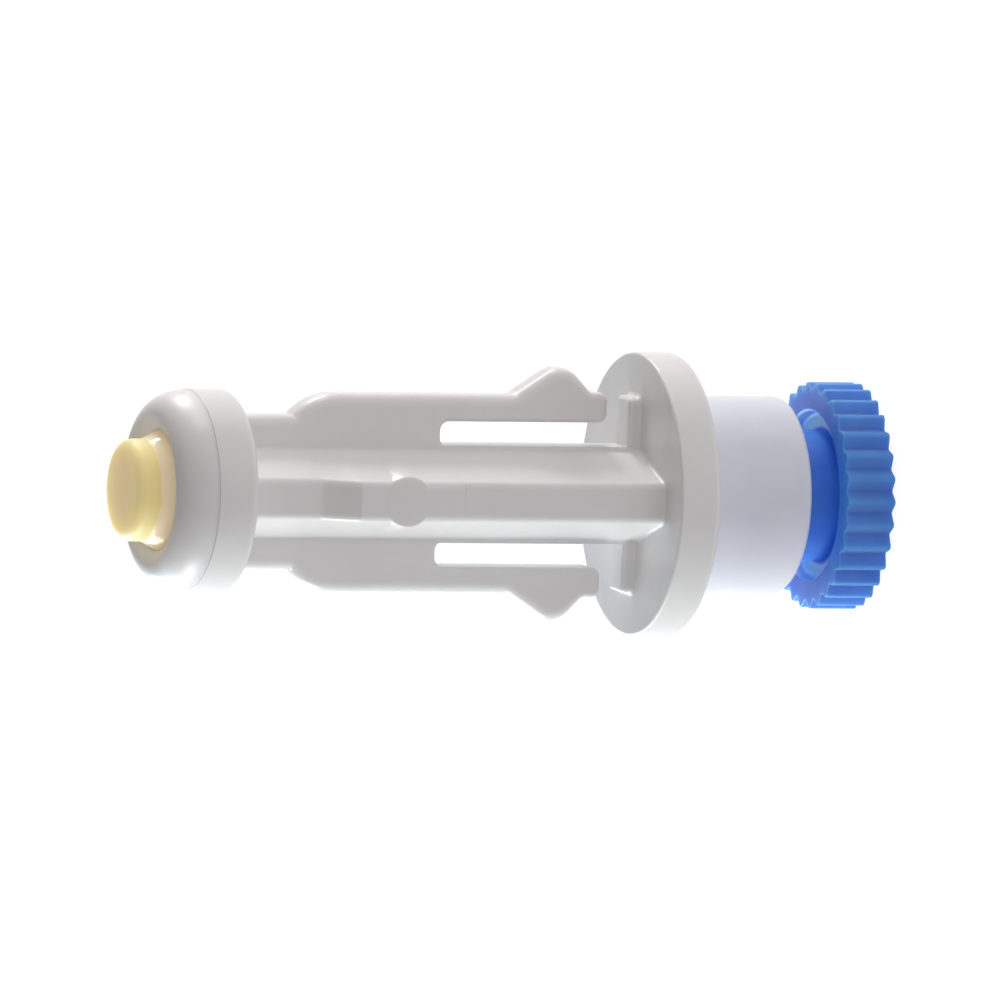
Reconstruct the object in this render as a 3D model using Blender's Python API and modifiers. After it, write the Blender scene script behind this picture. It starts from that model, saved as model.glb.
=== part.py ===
"""Infusion connector for a closed drug transfer line.

A moulded housing carries a male luer spigot, a flange to push against, two sprung latch
arms and a sealed nose. A swivelling luer lock collar turns on the spigot, a knurled cap
closes it, and a retainer holds the rubber membrane in the nose.

The connector stands on its cap: Z is its long axis, the latch arms lie along X and the
ridges along Y. Everything is in metres.
"""

import math

import bmesh
import bpy
from mathutils import Matrix, Vector

MM = 0.001

# Gaps between pieces
SEAT_GAP = 0.30 * MM
FIT_GAP = 0.15 * MM
PART_LINE = 0.20 * MM

# Facets of the round pieces, the step of an outline's rounded corner, and steps of a plate's edge
FACETS = 48
CORNER_STEP = math.radians(22)
EDGE_STEPS = 2

# Luer spigot and its lumen
LUER_TIP_RADIUS = 1.975 * MM
LUER_TAPER = 0.06
LUER_TIP_EDGE = 0.20 * MM
LUMEN_RADIUS = 1.05 * MM
LUMEN_MOUTH_RADIUS = 2.00 * MM
LUMEN_MOUTH_DEPTH = 1.30 * MM

# Snap bead that holds the collar, and the spigot's root between the bead and the flange
ROOT_RADIUS = 2.50 * MM
BEAD_DEPTH = 0.40 * MM
BEAD_LENGTH = 0.28 * MM
BEAD_LEAD_IN = 0.47 * MM

# Luer lock thread: two starts, shared by the collar and by the cap's lugs
THREAD_LEAD = 5.00 * MM
THREAD_STARTS = 2
THREAD_STEP = math.radians(10)
THREAD_MAJOR_RADIUS = 4.00 * MM
THREAD_DEPTH = 0.50 * MM
THREAD_ROOT_HALF = 0.55 * MM
THREAD_CREST_HALF = 0.20 * MM
THREAD_END_GAP = 0.12 * MM
THREAD_SUNK = 0.12 * MM

# Luer lock collar
COLLAR_LENGTH = 6.11 * MM
COLLAR_WALL = 1.50 * MM
COLLAR_WEB = 1.10 * MM
COLLAR_MOUTH_EDGE = 0.45 * MM
COLLAR_BACK_EDGE = 0.25 * MM
COLLAR_MOUTH_CHAMFER = 0.25 * MM
TIP_REACH = 2.09 * MM

# Knurled cap
CAP_RADIUS = 6.32 * MM
CAP_HEIGHT = 2.80 * MM
CAP_TEETH = 30
CAP_TOOTH_DEPTH = 0.50 * MM
CAP_TOOTH_LAND = 0.16
CAP_TOOTH_CHAMFER = 0.12 * MM
CAP_TURN = math.radians(2.4)
CAP_RIM_WALL = 1.12 * MM
CAP_TRAY_DEPTH = 0.83 * MM
CAP_FOOT_WALL = 1.20 * MM
CAP_FOOT_DEPTH = 0.50 * MM
CAP_FLOOR = 1.10 * MM
CAP_TIP_ROOM = 0.90 * MM
CAP_NECK_GAP = 0.33 * MM
CAP_NECK_IN_COLLAR = 0.11 * MM
CAP_NECK_CHAMFER = 0.30 * MM
HUB_EDGE = 0.15 * MM
LUER_SOCKET_GAP = 0.20 * MM

# Lugs on the cap's hub
LUG_GAP = 0.10 * MM
LUG_DEPTH = 0.60 * MM
LUG_SUNK = 0.12 * MM
LUG_ROOT_HALF = 0.45 * MM
LUG_CREST_HALF = 0.20 * MM
LUG_HALF_ANGLE = math.radians(25)
LUG_BELOW_TOP = 0.25 * MM

# Flange and the stop blocks on its face
FLANGE_RADIUS = 7.90 * MM
FLANGE_THICKNESS = 2.40 * MM
FLANGE_FACE_EDGE = 0.25 * MM
FLANGE_BACK_EDGE = 0.50 * MM
STOP_REACH = 5.45 * MM
STOP_THICKNESS = 2.10 * MM
STOP_HEIGHT = 0.70 * MM
STOP_EDGE = 0.20 * MM
STOP_CORNER = 0.32 * MM

# Wings: one plate with a slot behind each latch arm. Heights run on from each other.
WING_THICKNESS = 2.20 * MM
WING_EDGE = 0.35 * MM
ARM_TIP_GAP = 2.00 * MM
ARM_LENGTH = 9.87 * MM
WING_SOLID_LENGTH = 6.03 * MM
SHOULDER_RADIUS = 3.50 * MM
ARM_THICKNESS = 1.50 * MM
SLOT_WIDTH = 1.33 * MM
SLOT_CORNER = 0.50 * MM
ARM_TIP_CORNER = 0.50 * MM
LATCH_RISE = 1.92 * MM
LATCH_APEX_UP = 2.55 * MM
LATCH_START_UP = 5.50 * MM
LATCH_FOOT_UP = 1.00 * MM
LATCH_HEEL = 0.18 * MM
LATCH_APEX_RADIUS = 1.45 * MM
LATCH_FOOT_RADIUS = 0.50 * MM
LATCH_START_RADIUS = 1.00 * MM

# Spine: the ridge down the front and the back
SPINE_HALF_WIDTH = 2.72 * MM
SPINE_SIDE_HALF = 0.95 * MM
RIDGE_HALF_WIDTH = 1.25 * MM
RIDGE_HEIGHT = 5.40 * MM
RIDGE_EDGE = 0.50 * MM
RIDGE_EDGE_STEPS = 3
PAD_STEP = 0.10 * MM
PAD_END_ABOVE_SLOT = 0.25 * MM
RAMP_TOP_DROP = 0.60 * MM
RAMP_LENGTH = 1.60 * MM
RAMP_FOOT_RADIUS = 0.60 * MM
RAMP_CREST_RADIUS = 0.30 * MM
BOSS_RADIUS = 1.40 * MM
BOSS_STEP = 0.08 * MM
BOSS_EDGE = 0.25 * MM
BOSS_ABOVE_SLOT = 3.45 * MM

# Neck and head
NECK_RADIUS = 4.33 * MM
NECK_LENGTH = 3.60 * MM
HEAD_RADIUS = 5.65 * MM
HEAD_LENGTH = 2.42 * MM
HEAD_TOP_EDGE = 0.30 * MM
HEAD_BACK_EDGE = 0.50 * MM
HEAD_WALL = 0.65 * MM
POCKET_DEPTH = 1.06 * MM
CORE_RADIUS = 2.00 * MM

# Membrane and its retainer
RETAINER_STEP = 0.19 * MM
RETAINER_HEIGHT = 1.88 * MM
DOME_REACH = 1.26 * MM
DOME_DROP = 2.14 * MM
MOUTH_DROP = 0.42 * MM
MOUTH_EDGE = 0.15 * MM
RETAINER_CEILING = 0.80 * MM
RETAINER_SPIGOT_WALL = 0.50 * MM
PLUG_RADIUS = 2.85 * MM
PLUG_STANDS_OUT = 1.65 * MM
PLUG_EDGE = 0.46 * MM
LIP_DEPTH = 0.32 * MM
LIP_STANDS_OUT = 0.12 * MM
LIP_FILLET = 0.16 * MM
LIP_GAP = 0.17 * MM

# How far a joined or cut shape runs past the surface that it meets
OVERRUN = 0.60 * MM

# Heights, from the cap's foot up to the membrane's face
SOCKET_FLOOR_Z = CAP_FOOT_DEPTH + CAP_FLOOR
LUER_TIP_Z = SOCKET_FLOOR_Z + CAP_TIP_ROOM
COLLAR_MOUTH_Z = LUER_TIP_Z + TIP_REACH
COLLAR_BACK_Z = COLLAR_MOUTH_Z + COLLAR_LENGTH
WEB_Z = COLLAR_BACK_Z - COLLAR_WEB
BEAD_TOP_Z = WEB_Z - SEAT_GAP
BEAD_BOTTOM_Z = BEAD_TOP_Z - BEAD_LENGTH
BEAD_START_Z = BEAD_BOTTOM_Z - BEAD_LEAD_IN
HUB_TOP_Z = BEAD_START_Z - SEAT_GAP
FLANGE_BACK_Z = COLLAR_BACK_Z + SEAT_GAP
FLANGE_FACE_Z = FLANGE_BACK_Z + FLANGE_THICKNESS
ARM_TIP_Z = FLANGE_FACE_Z + ARM_TIP_GAP
SLOT_END_Z = ARM_TIP_Z + ARM_LENGTH
SHOULDER_Z = SLOT_END_Z + WING_SOLID_LENGTH

# Widths that follow from the sizes above
ARM_INNER = SPINE_HALF_WIDTH + SLOT_WIDTH
WING_HALF_WIDTH = ARM_INNER + ARM_THICKNESS
SHOULDER_ANGLE = math.acos(1 - (WING_HALF_WIDTH - NECK_RADIUS) / SHOULDER_RADIUS)
NECK_Z = SHOULDER_Z + SHOULDER_RADIUS * math.sin(SHOULDER_ANGLE)
HEAD_Z = NECK_Z + NECK_LENGTH
HEAD_TOP_Z = HEAD_Z + HEAD_LENGTH
POCKET_FLOOR_Z = HEAD_TOP_Z - POCKET_DEPTH
POCKET_RADIUS = HEAD_RADIUS - HEAD_WALL
RETAINER_Z = HEAD_TOP_Z + PART_LINE
RETAINER_TOP_Z = RETAINER_Z + RETAINER_HEIGHT
MOUTH_Z = RETAINER_TOP_Z - MOUTH_DROP
CEILING_Z = MOUTH_Z - RETAINER_CEILING
MEMBRANE_Z = POCKET_FLOOR_Z + SEAT_GAP
MEMBRANE_FACE_Z = RETAINER_TOP_Z + PLUG_STANDS_OUT
RETAINER_RADIUS = HEAD_RADIUS - RETAINER_STEP
SPIGOT_RADIUS = POCKET_RADIUS - FIT_GAP
SPIGOT_BORE = SPIGOT_RADIUS - RETAINER_SPIGOT_WALL
LIP_RADIUS = PLUG_RADIUS + LIP_DEPTH
MOUTH_RADIUS = LIP_RADIUS + LIP_GAP
BEAD_RADIUS = ROOT_RADIUS + BEAD_DEPTH
COLLAR_RADIUS = THREAD_MAJOR_RADIUS + COLLAR_WALL
WEB_BORE = ROOT_RADIUS + FIT_GAP
LUG_RADIUS = THREAD_MAJOR_RADIUS - LUG_GAP
HUB_RADIUS = LUG_RADIUS - LUG_DEPTH
NECK_PLUG_RADIUS = THREAD_MAJOR_RADIUS - CAP_NECK_GAP
NECK_PLUG_TOP_Z = COLLAR_MOUTH_Z + CAP_NECK_IN_COLLAR
LUG_CLIMB = THREAD_LEAD * LUG_HALF_ANGLE / math.tau
LUG_Z = HUB_TOP_Z - LUG_BELOW_TOP - LUG_ROOT_HALF - LUG_CLIMB
PAD_HEIGHT = RIDGE_HEIGHT + PAD_STEP


def luer_radius(height):
    """The male cone's radius at a height."""
    return LUER_TIP_RADIUS + LUER_TAPER * (height - LUER_TIP_Z) / 2


def rounded(corners, closed=True, arc_steps=None):
    """The points of an outline given as (u, v, radius) corners, each with its rounding arc."""
    points = []
    last = len(corners) - 1
    for index, (u, v, radius) in enumerate(corners):
        corner = Vector((u, v))
        if radius == 0 or (not closed and index in (0, last)):
            points.append(corner)
            continue
        back = Vector(corners[index - 1][:2]) - corner
        ahead = Vector(corners[(index + 1) % len(corners)][:2]) - corner
        turn = math.pi - back.angle(ahead)
        room = 0.49 * min(back.length, ahead.length)
        setback = min(radius * math.tan(turn / 2), room)
        reach = setback / math.sin(turn / 2)
        centre = corner + (back.normalized() + ahead.normalized()).normalized() * reach
        first = corner + back.normalized() * setback - centre
        final = corner + ahead.normalized() * setback - centre
        steps = arc_steps or max(1, round(turn / CORNER_STEP))
        for step in range(steps + 1):
            share = step / steps
            spoke = first * math.sin((1 - share) * turn) + final * math.sin(share * turn)
            points.append(centre + spoke / math.sin(turn))
    return points


def shoulder_arc(steps=5):
    """The wing's convex shoulder, from the neck down to the full width, as (x, z, 0) corners."""
    centre_x = WING_HALF_WIDTH - SHOULDER_RADIUS
    angles = [SHOULDER_ANGLE * (1 - step / steps) for step in range(steps + 1)]
    return [
        (centre_x + SHOULDER_RADIUS * math.cos(a), SHOULDER_Z + SHOULDER_RADIUS * math.sin(a), 0)
        for a in angles
    ]


def dome_arc(steps=8):
    """The retainer's dome, from its crest down to the part line, as (radius, height, 0) corners."""
    full_turn = math.acos(1 - RETAINER_HEIGHT / DOME_DROP)
    turns = [full_turn * step / steps for step in range(steps + 1)]
    return [
        (
            RETAINER_RADIUS - DOME_REACH * (1 - math.sin(turn) / math.sin(full_turn)),
            RETAINER_TOP_Z - DOME_DROP * (1 - math.cos(turn)),
            0,
        )
        for turn in turns
    ]


def mirrored(corners):
    """A right half's corners, top to bottom, followed by their mirror image, bottom to top."""
    return corners + [(-u, v, radius) for u, v, radius in reversed(corners)]


def clear_scene():
    for obj in list(bpy.data.objects):
        bpy.data.objects.remove(obj, do_unlink=True)


def new_collection(name):
    collection = bpy.data.collections.new(name)
    bpy.context.scene.collection.children.link(collection)
    return collection


def add_object(name, mesh, collection):
    obj = bpy.data.objects.new(name, mesh)
    collection.objects.link(obj)
    if collection is tools:
        obj.hide_render = True
        obj.display_type = "WIRE"
    return obj


def turned(name, corners, collection, closed=False):
    """A solid of revolution. The profile runs outwards from the axis and down the outer side."""
    points = rounded(corners, closed)
    edges = [(index, index + 1) for index in range(len(points) - 1)]
    if closed:
        edges.append((len(points) - 1, 0))
    mesh = bpy.data.meshes.new(name)
    mesh.from_pydata([(point.x, 0, point.y) for point in points], edges, [])
    obj = add_object(name, mesh, collection)
    screw = obj.modifiers.new("Turn", "SCREW")
    screw.axis = "Z"
    screw.steps = screw.render_steps = FACETS
    screw.use_merge_vertices = True
    screw.merge_threshold = 0.001 * MM
    return obj


def lofted(name, sections, collection):
    """A closed solid through a stack of (points, height) sections with as many points each."""
    work = bmesh.new()
    rings = [[work.verts.new((p.x, p.y, height)) for p in points] for points, height in sections]
    for upper, lower in zip(rings, rings[1:]):
        for index in range(len(upper)):
            after = (index + 1) % len(upper)
            work.faces.new((upper[index], upper[after], lower[after], lower[index]))
    work.faces.new(rings[0])
    work.faces.new(rings[-1])
    bmesh.ops.recalc_face_normals(work, faces=work.faces)
    mesh = bpy.data.meshes.new(name)
    work.to_mesh(mesh)
    work.free()
    return add_object(name, mesh, collection)


def inset(outline, distance):
    """A clockwise outline moved inwards, each corner along its own bisector."""
    moved = []
    for index, corner in enumerate(outline):
        back = (corner - outline[index - 1]).normalized()
        ahead = (outline[(index + 1) % len(outline)] - corner).normalized()
        inwards = Vector((ahead.y, -ahead.x))
        bisector = (inwards + Vector((back.y, -back.x))).normalized()
        moved.append(corner + bisector * distance / bisector.dot(inwards))
    return moved


def plate(name, outline, bottom, top, edge, edge_steps, collection):
    """A clockwise outline as a plate from bottom to top, its rim rounded by the edge radius."""
    sections = []
    for step in range(edge_steps + 1):
        angle = math.pi / 2 * step / edge_steps
        outer = inset(outline, edge * (1 - math.sin(angle)))
        sections.append((outer, edge * (1 - math.cos(angle))))
    lower = [(points, bottom + rise) for points, rise in sections]
    upper = [(points, top - rise) for points, rise in reversed(sections)]
    return lofted(name, lower + upper, collection)


def helical_rib(name, section, middle, angle_from, angle_to, collection):
    """A (radius, height) section swept along the luer lock's right-hand helix, as a closed solid."""
    steps = round((angle_to - angle_from) / THREAD_STEP)
    climb = THREAD_LEAD * (angle_to - angle_from) / math.tau
    start_z = middle + THREAD_LEAD * angle_from / math.tau
    work = bmesh.new()
    turn = Matrix.Rotation(angle_from, 3, "Z")
    corners = [work.verts.new(turn @ Vector((u, 0, start_z + v))) for u, v in section]
    face = work.faces.new(corners)
    bmesh.ops.spin(
        work,
        geom=[face, *face.edges, *face.verts],
        cent=(0, 0, 0),
        axis=(0, 0, 1),
        dvec=(0, 0, climb / steps),
        angle=angle_to - angle_from,
        steps=steps,
    )
    bmesh.ops.recalc_face_normals(work, faces=work.faces)
    mesh = bpy.data.meshes.new(name)
    work.to_mesh(mesh)
    work.free()
    return add_object(name, mesh, collection)


def combine(obj, tool, operation):
    boolean = obj.modifiers.new(tool.name, "BOOLEAN")
    boolean.operation = operation
    boolean.object = tool
    boolean.solver = "EXACT"


def settle(obj, material):
    """Turns the modifiers into the piece's own mesh, shades it and gives it its material."""
    graph = bpy.context.evaluated_depsgraph_get()
    mesh = bpy.data.meshes.new_from_object(obj.evaluated_get(graph))
    mesh.transform(obj.matrix_world)
    work = bmesh.new()
    work.from_mesh(mesh)
    bmesh.ops.remove_doubles(work, verts=work.verts, dist=0.001 * MM)
    work.to_mesh(mesh)
    work.free()
    obj.modifiers.clear()
    obj.matrix_world = Matrix()
    obj.data = mesh
    mesh.name = obj.name
    mesh.shade_smooth()
    mesh.set_sharp_from_angle(angle=math.radians(32))
    mesh.materials.clear()
    mesh.materials.append(material)


def plastic(name, colour, roughness, transmission=0.0):
    material = bpy.data.materials.new(name)
    material.use_nodes = True
    shader = material.node_tree.nodes["Principled BSDF"]
    shader.inputs["Base Color"].default_value = (*colour, 1)
    shader.inputs["Roughness"].default_value = roughness
    shader.inputs["Metallic"].default_value = 0
    shader.inputs["Transmission Weight"].default_value = transmission
    return material


# Turns a flat outline drawn as (x, z) upright, so that its thickness runs along Y
ALONG_Y = Matrix.Rotation(math.pi / 2, 4, "X")


def housing_core():
    """The turned middle of the housing: spigot, snap bead, flange, core and head."""
    return turned(
        "housing",
        [
            (0, HEAD_TOP_Z, 0),
            (HEAD_RADIUS, HEAD_TOP_Z, HEAD_TOP_EDGE),
            (HEAD_RADIUS, HEAD_Z, HEAD_BACK_EDGE),
            (CORE_RADIUS, HEAD_Z, 0),
            (CORE_RADIUS, FLANGE_FACE_Z, 0),
            (FLANGE_RADIUS, FLANGE_FACE_Z, FLANGE_FACE_EDGE),
            (FLANGE_RADIUS, FLANGE_BACK_Z, FLANGE_BACK_EDGE),
            (ROOT_RADIUS, FLANGE_BACK_Z, 0),
            (ROOT_RADIUS, BEAD_TOP_Z, 0),
            (BEAD_RADIUS, BEAD_TOP_Z, 0),
            (BEAD_RADIUS, BEAD_BOTTOM_Z, 0),
            (luer_radius(BEAD_START_Z), BEAD_START_Z, 0),
            (LUER_TIP_RADIUS, LUER_TIP_Z, LUER_TIP_EDGE),
            (0, LUER_TIP_Z, 0),
        ],
        parts,
    )


def spine_section(height):
    """The spine across Z: a ridge of this height at the front and the back, sloping to the sides."""
    ridge = [(RIDGE_HALF_WIDTH, height, RIDGE_EDGE), (SPINE_HALF_WIDTH, SPINE_SIDE_HALF, 0)]
    half = ridge + [(x, -y, radius) for x, y, radius in reversed(ridge)]
    return rounded(mirrored(half), arc_steps=RIDGE_EDGE_STEPS)


def spine():
    """The long core, whose two ridges drop by a ramp to the neck and by a small step at the slots."""
    ramp_top = NECK_Z - RAMP_TOP_DROP
    pad_end = SLOT_END_Z + PAD_END_ABOVE_SLOT
    heights = rounded(
        [
            (NECK_RADIUS, HEAD_Z + HEAD_BACK_EDGE + OVERRUN, 0),
            (NECK_RADIUS, ramp_top, RAMP_FOOT_RADIUS),
            (PAD_HEIGHT, ramp_top - RAMP_LENGTH, RAMP_CREST_RADIUS),
            (PAD_HEIGHT, pad_end, 0),
            (RIDGE_HEIGHT, pad_end - PAD_STEP, 0),
            (RIDGE_HEIGHT, FLANGE_FACE_Z - OVERRUN, 0),
        ],
        closed=False,
    )
    return lofted("spine", [(spine_section(point.x), point.y) for point in heights], tools)


def ridge_boss():
    """The round boss that stands through both ridges."""
    reach = PAD_HEIGHT + BOSS_STEP
    boss = turned(
        "ridge_boss",
        [
            (0, reach, 0),
            (BOSS_RADIUS, reach, BOSS_EDGE),
            (BOSS_RADIUS, -reach, BOSS_EDGE),
            (0, -reach, 0),
        ],
        tools,
    )
    boss.matrix_world = Matrix.Translation((0, 0, SLOT_END_Z + BOSS_ABOVE_SLOT)) @ ALONG_Y
    return boss


def wings():
    """Both wings as one plate: neck, shoulders, latch arms and the slots behind them."""
    inside_spine = SPINE_HALF_WIDTH - FIT_GAP / 2
    deep_inside = SPINE_HALF_WIDTH / 3
    latch_line = WING_HALF_WIDTH + LATCH_RISE
    heel_line = WING_HALF_WIDTH + LATCH_HEEL
    half = [
        (NECK_RADIUS, HEAD_Z + HEAD_BACK_EDGE + OVERRUN, 0),
        *shoulder_arc(),
        (WING_HALF_WIDTH, ARM_TIP_Z + LATCH_START_UP, LATCH_START_RADIUS),
        (latch_line, ARM_TIP_Z + LATCH_APEX_UP, LATCH_APEX_RADIUS),
        (heel_line, ARM_TIP_Z + LATCH_FOOT_UP, LATCH_FOOT_RADIUS),
        (heel_line, ARM_TIP_Z, ARM_TIP_CORNER),
        (ARM_INNER, ARM_TIP_Z, ARM_TIP_CORNER),
        (ARM_INNER, SLOT_END_Z, SLOT_CORNER),
        (inside_spine, SLOT_END_Z, SLOT_CORNER),
        (inside_spine, SLOT_END_Z - 2 * SLOT_CORNER, 0),
        (deep_inside, SLOT_END_Z - 2 * SLOT_CORNER, 0),
    ]
    side = WING_THICKNESS / 2
    made = plate("wings", rounded(mirrored(half)), -side, side, WING_EDGE, EDGE_STEPS, tools)
    made.matrix_world = ALONG_Y
    return made


def stop_blocks():
    """The two low blocks on the flange's face, made as one bar through the spine."""
    top = FLANGE_FACE_Z + STOP_HEIGHT
    bottom = FLANGE_FACE_Z - OVERRUN
    side = STOP_THICKNESS / 2
    outline = rounded(mirrored([(STOP_REACH, top, STOP_CORNER), (STOP_REACH, bottom, 0)]))
    bar = plate("stop_blocks", outline, -side, side, STOP_EDGE, EDGE_STEPS, tools)
    bar.matrix_world = ALONG_Y
    return bar


def flow_path():
    """What the housing is open to: the lumen, its flared mouth and the membrane's pocket."""
    return turned(
        "flow_path",
        [
            (0, HEAD_TOP_Z + OVERRUN, 0),
            (POCKET_RADIUS, HEAD_TOP_Z + OVERRUN, 0),
            (POCKET_RADIUS, POCKET_FLOOR_Z, 0),
            (LUMEN_MOUTH_RADIUS, POCKET_FLOOR_Z, 0),
            (LUMEN_RADIUS, POCKET_FLOOR_Z - LUMEN_MOUTH_DEPTH, 0),
            (LUMEN_RADIUS, LUER_TIP_Z - OVERRUN, 0),
            (0, LUER_TIP_Z - OVERRUN, 0),
        ],
        tools,
    )


def make_housing():
    housing = housing_core()
    for added in (spine(), ridge_boss(), wings(), stop_blocks()):
        combine(housing, added, "UNION")
    combine(housing, flow_path(), "DIFFERENCE")
    settle(housing, plastic("white_moulded_plastic", (0.80, 0.79, 0.78), 0.38))


def make_collar():
    """The collar: a plain sleeve with a web behind the snap bead and a two-start thread inside."""
    collar = turned(
        "luer_lock_collar",
        [
            (WEB_BORE, COLLAR_BACK_Z, 0),
            (COLLAR_RADIUS, COLLAR_BACK_Z, COLLAR_BACK_EDGE),
            (COLLAR_RADIUS, COLLAR_MOUTH_Z, COLLAR_MOUTH_EDGE),
            (THREAD_MAJOR_RADIUS + COLLAR_MOUTH_CHAMFER, COLLAR_MOUTH_Z, 0),
            (THREAD_MAJOR_RADIUS, COLLAR_MOUTH_Z + COLLAR_MOUTH_CHAMFER, 0),
            (THREAD_MAJOR_RADIUS, WEB_Z, 0),
            (WEB_BORE, WEB_Z, 0),
        ],
        parts,
        closed=True,
    )
    crest = THREAD_MAJOR_RADIUS - THREAD_DEPTH
    foot = THREAD_MAJOR_RADIUS + THREAD_SUNK
    section = [
        (foot, -THREAD_ROOT_HALF),
        (foot, THREAD_ROOT_HALF),
        (crest, THREAD_CREST_HALF),
        (crest, -THREAD_CREST_HALF),
    ]
    # At angle 0 a lug lies midway between two ridges, so each ridge is half a gap away from it.
    between_starts = THREAD_LEAD / THREAD_STARTS
    middle = LUG_Z - between_starts / 2
    highest = WEB_Z - THREAD_END_GAP - THREAD_ROOT_HALF
    lowest = NECK_PLUG_TOP_Z + SEAT_GAP + THREAD_END_GAP + THREAD_ROOT_HALF
    angle_from = (lowest - middle) * math.tau / THREAD_LEAD
    angle_to = (highest - middle) * math.tau / THREAD_LEAD
    for start in range(THREAD_STARTS):
        shift = start * math.tau / THREAD_STARTS
        ridge = helical_rib(
            f"thread_{start + 1}",
            section,
            middle - THREAD_LEAD * shift / math.tau,
            angle_from + shift,
            angle_to + shift,
            tools,
        )
        combine(collar, ridge, "UNION")
    settle(collar, plastic("natural_polypropylene", (0.72, 0.73, 0.80), 0.30, 0.35))


def knurled_disc():
    """The cap's disc, with straight V teeth round it."""
    pitch = math.tau / CAP_TEETH
    land = pitch * CAP_TOOTH_LAND / 2
    root = CAP_RADIUS - CAP_TOOTH_DEPTH
    outline = []
    for tooth in range(CAP_TEETH):
        middle = CAP_TURN - math.pi / 2 - tooth * pitch
        for radius, angle in (
            (CAP_RADIUS, middle + land),
            (CAP_RADIUS, middle - land),
            (root, middle - pitch / 2),
        ):
            outline.append(Vector((radius * math.cos(angle), radius * math.sin(angle))))
    return plate("protective_cap", outline, 0, CAP_HEIGHT, CAP_TOOTH_CHAMFER, 1, parts)


def make_cap():
    """The cap: knurled disc with a shallow tray, neck, threaded hub and tapered luer socket."""
    cap = knurled_disc()
    tray_radius = CAP_RADIUS - CAP_TOOTH_DEPTH - CAP_RIM_WALL
    foot_radius = CAP_RADIUS - CAP_TOOTH_DEPTH - CAP_FOOT_WALL
    tray = turned(
        "cap_tray",
        [
            (0, CAP_HEIGHT + OVERRUN, 0),
            (tray_radius, CAP_HEIGHT + OVERRUN, 0),
            (tray_radius, CAP_HEIGHT - CAP_TRAY_DEPTH, 0),
            (0, CAP_HEIGHT - CAP_TRAY_DEPTH, 0),
        ],
        tools,
    )
    foot = turned(
        "cap_foot",
        [
            (0, CAP_FOOT_DEPTH, 0),
            (foot_radius, CAP_FOOT_DEPTH, 0),
            (foot_radius, -OVERRUN, 0),
            (0, -OVERRUN, 0),
        ],
        tools,
    )
    buried = CAP_HEIGHT - CAP_TRAY_DEPTH - OVERRUN
    hub = turned(
        "cap_hub",
        [
            (0, HUB_TOP_Z, 0),
            (HUB_RADIUS, HUB_TOP_Z, HUB_EDGE),
            (HUB_RADIUS, NECK_PLUG_TOP_Z, 0),
            (NECK_PLUG_RADIUS, NECK_PLUG_TOP_Z - CAP_NECK_CHAMFER, 0),
            (NECK_PLUG_RADIUS, buried, 0),
            (0, buried, 0),
        ],
        tools,
    )
    section = [
        (HUB_RADIUS - LUG_SUNK, -LUG_ROOT_HALF),
        (HUB_RADIUS - LUG_SUNK, LUG_ROOT_HALF),
        (LUG_RADIUS, LUG_CREST_HALF),
        (LUG_RADIUS, -LUG_CREST_HALF),
    ]
    lugs = [
        helical_rib(
            f"lug_{start + 1}",
            section,
            LUG_Z - THREAD_LEAD * start / THREAD_STARTS,
            start * math.tau / THREAD_STARTS - LUG_HALF_ANGLE,
            start * math.tau / THREAD_STARTS + LUG_HALF_ANGLE,
            tools,
        )
        for start in range(THREAD_STARTS)
    ]
    socket = turned(
        "luer_socket",
        [
            (0, HUB_TOP_Z + OVERRUN, 0),
            (luer_radius(HUB_TOP_Z + OVERRUN) + LUER_SOCKET_GAP, HUB_TOP_Z + OVERRUN, 0),
            (luer_radius(SOCKET_FLOOR_Z) + LUER_SOCKET_GAP, SOCKET_FLOOR_Z, 0),
            (0, SOCKET_FLOOR_Z, 0),
        ],
        tools,
    )
    combine(cap, tray, "DIFFERENCE")
    combine(cap, foot, "DIFFERENCE")
    for added in (hub, *lugs):
        combine(cap, added, "UNION")
    combine(cap, socket, "DIFFERENCE")
    settle(cap, plastic("blue_polyethylene", (0.05, 0.14, 0.46), 0.32, 0.20))


def make_retainer():
    """The domed ring round the membrane, with a spigot that seats in the head's pocket."""
    retainer = turned(
        "membrane_retainer",
        [
            (MOUTH_RADIUS, MOUTH_Z, MOUTH_EDGE),
            *dome_arc(),
            (SPIGOT_RADIUS, RETAINER_Z, 0),
            (SPIGOT_RADIUS, POCKET_FLOOR_Z + SEAT_GAP, 0),
            (SPIGOT_BORE, POCKET_FLOOR_Z + SEAT_GAP, 0),
            (SPIGOT_BORE, CEILING_Z, 0),
            (MOUTH_RADIUS, CEILING_Z, 0),
        ],
        parts,
        closed=True,
    )
    settle(retainer, plastic("white_retainer_plastic", (0.82, 0.81, 0.80), 0.32))


def make_membrane():
    """The rubber membrane: a plug that stands out of the nose, on a flange held in the pocket."""
    flange_radius = SPIGOT_BORE - SEAT_GAP
    flange_top = CEILING_Z - SEAT_GAP
    lip_top = MOUTH_Z + LIP_STANDS_OUT
    membrane = turned(
        "membrane",
        [
            (0, MEMBRANE_FACE_Z, 0),
            (PLUG_RADIUS, MEMBRANE_FACE_Z, PLUG_EDGE),
            (PLUG_RADIUS, lip_top, LIP_FILLET),
            (LIP_RADIUS, lip_top, LIP_FILLET / 2),
            (LIP_RADIUS, flange_top, 0),
            (flange_radius, flange_top, 0),
            (flange_radius, MEMBRANE_Z, 0),
            (0, MEMBRANE_Z, 0),
        ],
        parts,
    )
    settle(membrane, plastic("yellow_rubber", (0.60, 0.50, 0.24), 0.35))


clear_scene()
parts = new_collection("infusion_connector")
tools = new_collection("cutters")
make_cap()
make_collar()
make_housing()
make_retainer()
make_membrane()
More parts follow.
